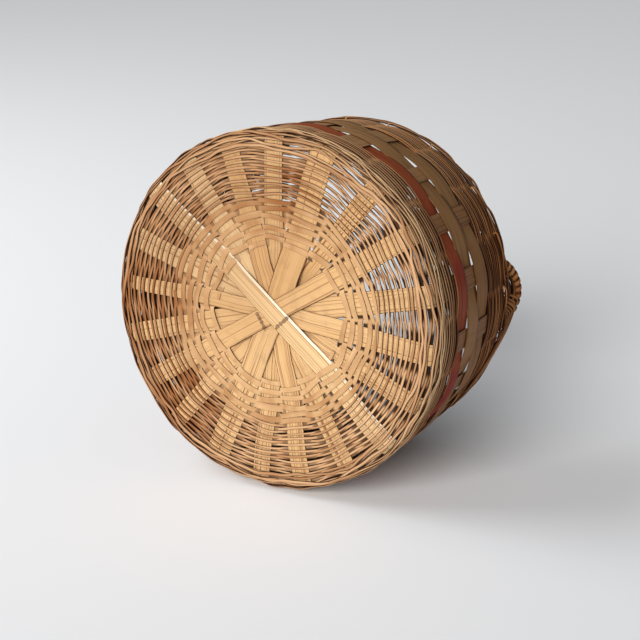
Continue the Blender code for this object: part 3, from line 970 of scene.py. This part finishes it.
def band_finish(name, colours, base, faded, fade):
    """A dyed or plain band: grain along it, paler in patches and in streaks, paler on the upward side with
    painted light (there partly also faded dye), dirty in streaks, and darker along its edges."""
    f = Finish(name)
    along, across, seed = f.attribute("grain")
    middle = f.attribute("tone")[2]
    position = f.position()
    fibre = f.streaks(along * 22.0, across * 1400.0, seed * 23.0, 4.0, 0.6)
    broad = f.streaks(along * 10.0, across * 220.0, seed * 13.0, 3.0, 0.6)
    patch = f.noise(position, 13.0, 2.0, 0.5)
    body = f.over(
        base,
        (patch.between(0.42, 0.58) * fade, faded),
        (fibre.between(0.45, 0.75) * 0.35, faded),
        # Painted light on the upward side, there partly also faded dye
        (f.spot(position, *LIT_SIDE) * 0.7, faded),
        (broad.between(0.46, 0.70) * 0.50, colours.stain_and_shade),
        # Darker towards the band's edges
        (middle.between(0.75, -0.3) * 0.65, colours.stain_and_shade),
    )
    return f.done(body, 0.45 + 0.25 * fibre, fibre * 0.7 + broad * 0.5, 0.0005)


class BASKET_OT_splints(bpy.types.Operator):
    """Make the ten splints that cross at the hub and turn up as the stakes"""

    bl_idname = "basket.splints"
    bl_label = "Splints"

    def execute(self, context):
        finish = splint_finish(context.scene.basket_colours)
        t = splint_stations()
        lifts = hub_lifts(t)
        for splint in range(SPLINTS):
            number = f"{splint + 1:02d}"
            tube = splint_tube(splint, t, lifts[splint])
            make_piece(f"ash_splint_{number}", [tube], finish, [f"splint_{number}"])
        return {"FINISHED"}


class BASKET_OT_base_weave(bpy.types.Operator):
    """Make the flat and the fine weavers of the base"""

    bl_idname = "basket.base_weave"
    bl_label = "Base weavers"

    def execute(self, context):
        sizes, colours = context.scene.basket_sizes, context.scene.basket_colours
        cane = strand_finish("flat_cane", colours, colours.cane, linear(154, 108, 68), 0.55)
        strand = strand_finish("tan_strand", colours, colours.strand, linear(146, 98, 58), 0.62)
        for letter, stake in WEAVERS:
            wide, thick = sizes.cane_width, sizes.cane_thick
            tube = weaver_tube(CANES_FROM, CANE_PITCH, 5, stake, wide, thick, (12, 5.0), 32, 11, OFF_HUB)
            make_piece(f"cane_weaver_{letter}", [tube], cane, [f"base_cane_{letter}"])
            wide, thick = sizes.strand_width, sizes.strand_thick
            tube = weaver_tube(STRANDS_FROM, STRAND_PITCH, 9, stake, wide, thick, (8, 2.3), 30, 21)
            make_piece(f"fine_weaver_{letter}", [tube], strand, [f"base_strand_{letter}"])
        return {"FINISHED"}


class BASKET_OT_wall_weave(bpy.types.Operator):
    """Make the strands that go round the heel, the lower wall and the upper wall"""

    bl_idname = "basket.wall_weave"
    bl_label = "Wall weavers"

    def execute(self, context):
        sizes, colours = context.scene.basket_sizes, context.scene.basket_colours
        strand = strand_finish("heel_strand_wood", colours, colours.strand, linear(140, 92, 54), 0.55)
        wide, thick = sizes.heel_width, sizes.heel_thick
        top = sizes.upper_tan_foot + sizes.upper_tan_width + BAND_GAP
        heel_room, wall_room = along_wall(sizes.red_foot - BAND_GAP) - HEEL_FROM, STAKE_TOP - top
        for letter, stake in WEAVERS:
            for part, start, room, rounds, width, power, seed in (
                ("heel", HEEL_FROM, heel_room, 12, wide, 2.2, 31),
                ("wall", along_wall(top), wall_room, 11, 0.94 * wide, 2.1, 41),
            ):
                pitch = room / (2 * rounds + 1)
                tube = weaver_tube(start, (pitch, pitch), rounds, stake, width, thick, (8, power), 24, seed)
                node = f"{part}_strand_{letter}"
                make_piece(f"{part}_weaver_{letter}", [tube], strand, [node])
        make_piece("heel_bundle", heel_bundle(), strand, [])
        return {"FINISHED"}


class BASKET_OT_bands(bpy.types.Operator):
    """Make the red band and the two tan bands"""

    bl_idname = "basket.bands"
    bl_label = "Bands"

    def execute(self, context):
        sizes, colours = context.scene.basket_sizes, context.scene.basket_colours
        red = band_finish("red_dye", colours, colours.red, colours.faded, 0.65)
        tan = band_finish("plain_tan", colours, colours.tan, linear(164, 124, 82), 0.5)
        for name, foot, width, over_even, finish, slot, seed in (
            ("red_band", sizes.red_foot, sizes.red_width, False, red, "red_splint", 51),
            ("lower_tan_band", sizes.lower_tan_foot, sizes.lower_tan_width, True, tan, "tan_splint", 55),
            ("upper_tan_band", sizes.upper_tan_foot, sizes.upper_tan_width, False, tan, "tan_splint", 59),
        ):
            tube = band_tube(foot, width, over_even, sizes.band_thick, seed)
            make_piece(f"woven_{name}", [tube], finish, [name])
        return {"FINISHED"}


class BASKET_OT_rim(bpy.types.Operator):
    """Make the hoops of the rim and the strand that lashes them"""

    bl_idname = "basket.rim"
    bl_label = "Rim"

    def execute(self, context):
        sizes, colours = context.scene.basket_sizes, context.scene.basket_colours
        finish = strand_finish("rim_wood", colours, colours.strand, colours.brown, 0.7)
        for node, facing in (("rim_hoop_outer", 1), ("rim_hoop_inner", -1)):
            make_piece(f"bundled_{node}", hoop_tubes(sizes, facing), finish, [node])
        make_piece("rim_binding", [lashing_tube(sizes)], finish, ["rim_lashing"])
        return {"FINISHED"}


class BASKET_OT_ears(bpy.types.Operator):
    """Make the two wrapped ears and the sheaves of strands beside them"""

    bl_idname = "basket.ears"
    bl_label = "Ears"

    def execute(self, context):
        sizes, colours = context.scene.basket_sizes, context.scene.basket_colours
        rod = strand_finish("ear_wood", colours, linear(160, 108, 64), colours.brown, 0.6, 0.5)
        wrap = strand_finish("ear_wrapping", colours, linear(168, 114, 68), colours.brown, 0.7, 0.45)
        sheaf = strand_finish("sheaf_wood", colours, linear(206, 152, 100), colours.brown, 0.6, 0.50)
        for side, facing in (("right", 1), ("left", -1)):
            make_piece(f"bent_{side}_ear", ear_tubes(sizes, facing), rod, [f"{side}_ear"])
            wound = [wrap_tube(sizes, facing)]
            make_piece(f"wound_{side}_ear", wound, wrap, [f"{side}_ear_wrap"])
            make_piece(f"sheaf_{side}_ear", sheaf_tubes(facing), sheaf, [])
        return {"FINISHED"}


class BASKET_OT_stage(bpy.types.Operator):
    """Make the floor, the lights and the camera"""

    bl_idname = "basket.stage"
    bl_label = "Stage"

    def execute(self, context):
        up = floor_up()
        make_floor(up, context.scene.basket_colours.floor)
        make_lights(up)
        make_camera()
        return {"FINISHED"}


def floor_up():
    """The floor's upward normal: the basket lies on its heel and its rim, on one side."""
    angle, tilt = math.radians(96.5), math.radians(3.6)
    return np.array((-math.cos(tilt) * math.cos(angle), -math.cos(tilt) * math.sin(angle), -math.sin(tilt)))


def lowest(up):
    """Lowest level of the basket's pieces along the floor's normal."""
    level = 1.0
    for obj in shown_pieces():
        points = np.empty(len(obj.data.vertices) * 3, np.float32)
        obj.data.vertices.foreach_get("co", points)
        level = min(level, float((points.reshape(-1, 3) @ up).min()))
    return level


def floor_axes(up):
    """Two directions in the floor, as the camera sees them: away from it, and to its left."""
    away = np.array((0.0, 0.0, 1.0)) - up * up[2]
    away /= np.linalg.norm(away)
    return away, np.cross(up, away)


def make_floor(up, colour):
    """A wide plane just under the basket, seen only from above."""
    away, left = floor_axes(up)
    centre = up * (lowest(up) - 0.0003)
    corners = [centre + 6.0 * (a * away + b * left) for a, b in ((-1, -1), (1, -1), (1, 1), (-1, 1))]
    mesh = bpy.data.meshes.new("studio_floor")
    normal = np.cross(corners[1] - corners[0], corners[2] - corners[1])
    order = (0, 1, 2, 3) if normal @ up > 0 else (3, 2, 1, 0)
    mesh.from_pydata([tuple(corner) for corner in corners], [], [order])
    f = Finish("studio_paper")
    mottle = f.noise(f.position(), 3.0, 2.0, 0.55)
    f.done(f.mix(mottle * 0.06, colour, tuple(0.9 * c for c in colour)), 0.9, mottle, 0.0, 0.1)
    clear = f.add("ShaderNodeBsdfTransparent", {}, {})
    back = f.add("ShaderNodeNewGeometry", {}, {}, "Backfacing")
    shown = f.add("ShaderNodeMixShader", {}, {0: back, 1: Value(f, f.shader.outputs[0]), 2: clear})
    f.put(f.tree.nodes["Material Output"].inputs["Surface"], shown)
    mesh.materials.append(f.material)
    add_object("studio_floor", mesh)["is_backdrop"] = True


def turn_object(obj, rotation):
    """Turns a light or the camera."""
    obj.rotation_mode = "QUATERNION"
    obj.rotation_quaternion = rotation


def add_light(name, kind, power, colour, ray):
    """A light that shines against a ray, which points from what it lights to the light."""
    light = bpy.data.lights.new(name, kind)
    light.energy, light.color = power, colour
    obj = add_object(name, light)
    turn_object(obj, ray.to_track_quat("Z", "Y"))
    return obj


def make_lights(up):
    """A soft light in front, a wide one beside it on the left, and a weak even sky."""
    away, left = floor_axes(up)
    rise, swing = math.radians(22), math.radians(-3)
    ray = math.sin(rise) * up + math.cos(rise) * (math.sin(swing) * left - math.cos(swing) * away)
    key = add_light("key_light", "SUN", 3.5, (1.0, 0.985, 0.965), Vector(ray))
    key.data.angle = math.radians(40)
    middle = np.array((0.0, 0.0, 0.08))
    beside = middle + 1.5 * up - 0.6 * away + 1.75 * left
    side = add_light("side_light", "AREA", 34.0, (0.97, 0.985, 1.0), Vector(beside) - Vector(middle))
    side.location = beside
    side.data.shape, side.data.size = "SQUARE", 1.8
    world = bpy.data.worlds.new("studio")
    world.use_nodes = True
    sky = world.node_tree.nodes["Background"]
    sky.inputs["Color"].default_value = (1.0, 0.99, 0.98, 1.0)
    sky.inputs["Strength"].default_value = 0.12
    bpy.context.scene.world = world
    bpy.context.scene.view_settings.view_transform = "Standard"


def make_camera():
    """The camera of the photograph: in front of the base, low on its right-hand side."""
    camera = bpy.data.cameras.new("camera")
    camera.lens = 99.74
    camera.sensor_width = 36.0
    camera.clip_start, camera.clip_end = 0.05, 40.0
    obj = add_object("camera", camera)
    right, down, ahead = (0.8720, 0.0705, 0.4843), (0.0434, 0.9745, -0.2201), (-0.4875, 0.2130, 0.8467)
    axes = [Vector(right), -Vector(down), -Vector(ahead)]
    turn_object(obj, Matrix([[axis[row] for axis in axes] for row in range(3)]).to_quaternion())
    obj.location = (0.8195, -0.3321, -1.3342)
    bpy.context.scene.camera = obj


OPERATORS = (
    BASKET_OT_splints,
    BASKET_OT_base_weave,
    BASKET_OT_wall_weave,
    BASKET_OT_bands,
    BASKET_OT_rim,
    BASKET_OT_ears,
    BASKET_OT_stage,
)


class BASKET_PT_panel(bpy.types.Panel):
    """The basket's pieces, sizes and colours"""

    bl_idname = "BASKET_PT_panel"
    bl_label = "Carrying Basket"
    bl_space_type = "VIEW_3D"
    bl_region_type = "UI"
    bl_category = "Basket"

    def draw(self, context):
        for operator in OPERATORS:
            self.layout.operator(operator.bl_idname)
        for group in (context.scene.basket_sizes, context.scene.basket_colours):
            box = self.layout.box()
            for key in group.bl_rna.properties.keys():
                if key not in {"rna_type", "name"}:
                    box.prop(group, key)


CLASSES = (BasketSizes, BasketColours, *OPERATORS, BASKET_PT_panel)


def register():
    for cls in CLASSES:
        bpy.utils.register_class(cls)
    bpy.types.Scene.basket_sizes = bpy.props.PointerProperty(type=BasketSizes)
    bpy.types.Scene.basket_colours = bpy.props.PointerProperty(type=BasketColours)


def unregister():
    del bpy.types.Scene.basket_colours
    del bpy.types.Scene.basket_sizes
    for cls in reversed(CLASSES):
        bpy.utils.unregister_class(cls)


def main():
    """Registers the add-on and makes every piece."""
    register()
    for name in ("splints", "base_weave", "wall_weave", "bands", "rim", "ears", "stage"):
        getattr(bpy.ops.basket, name)()


if __name__ == "__main__":
    main()
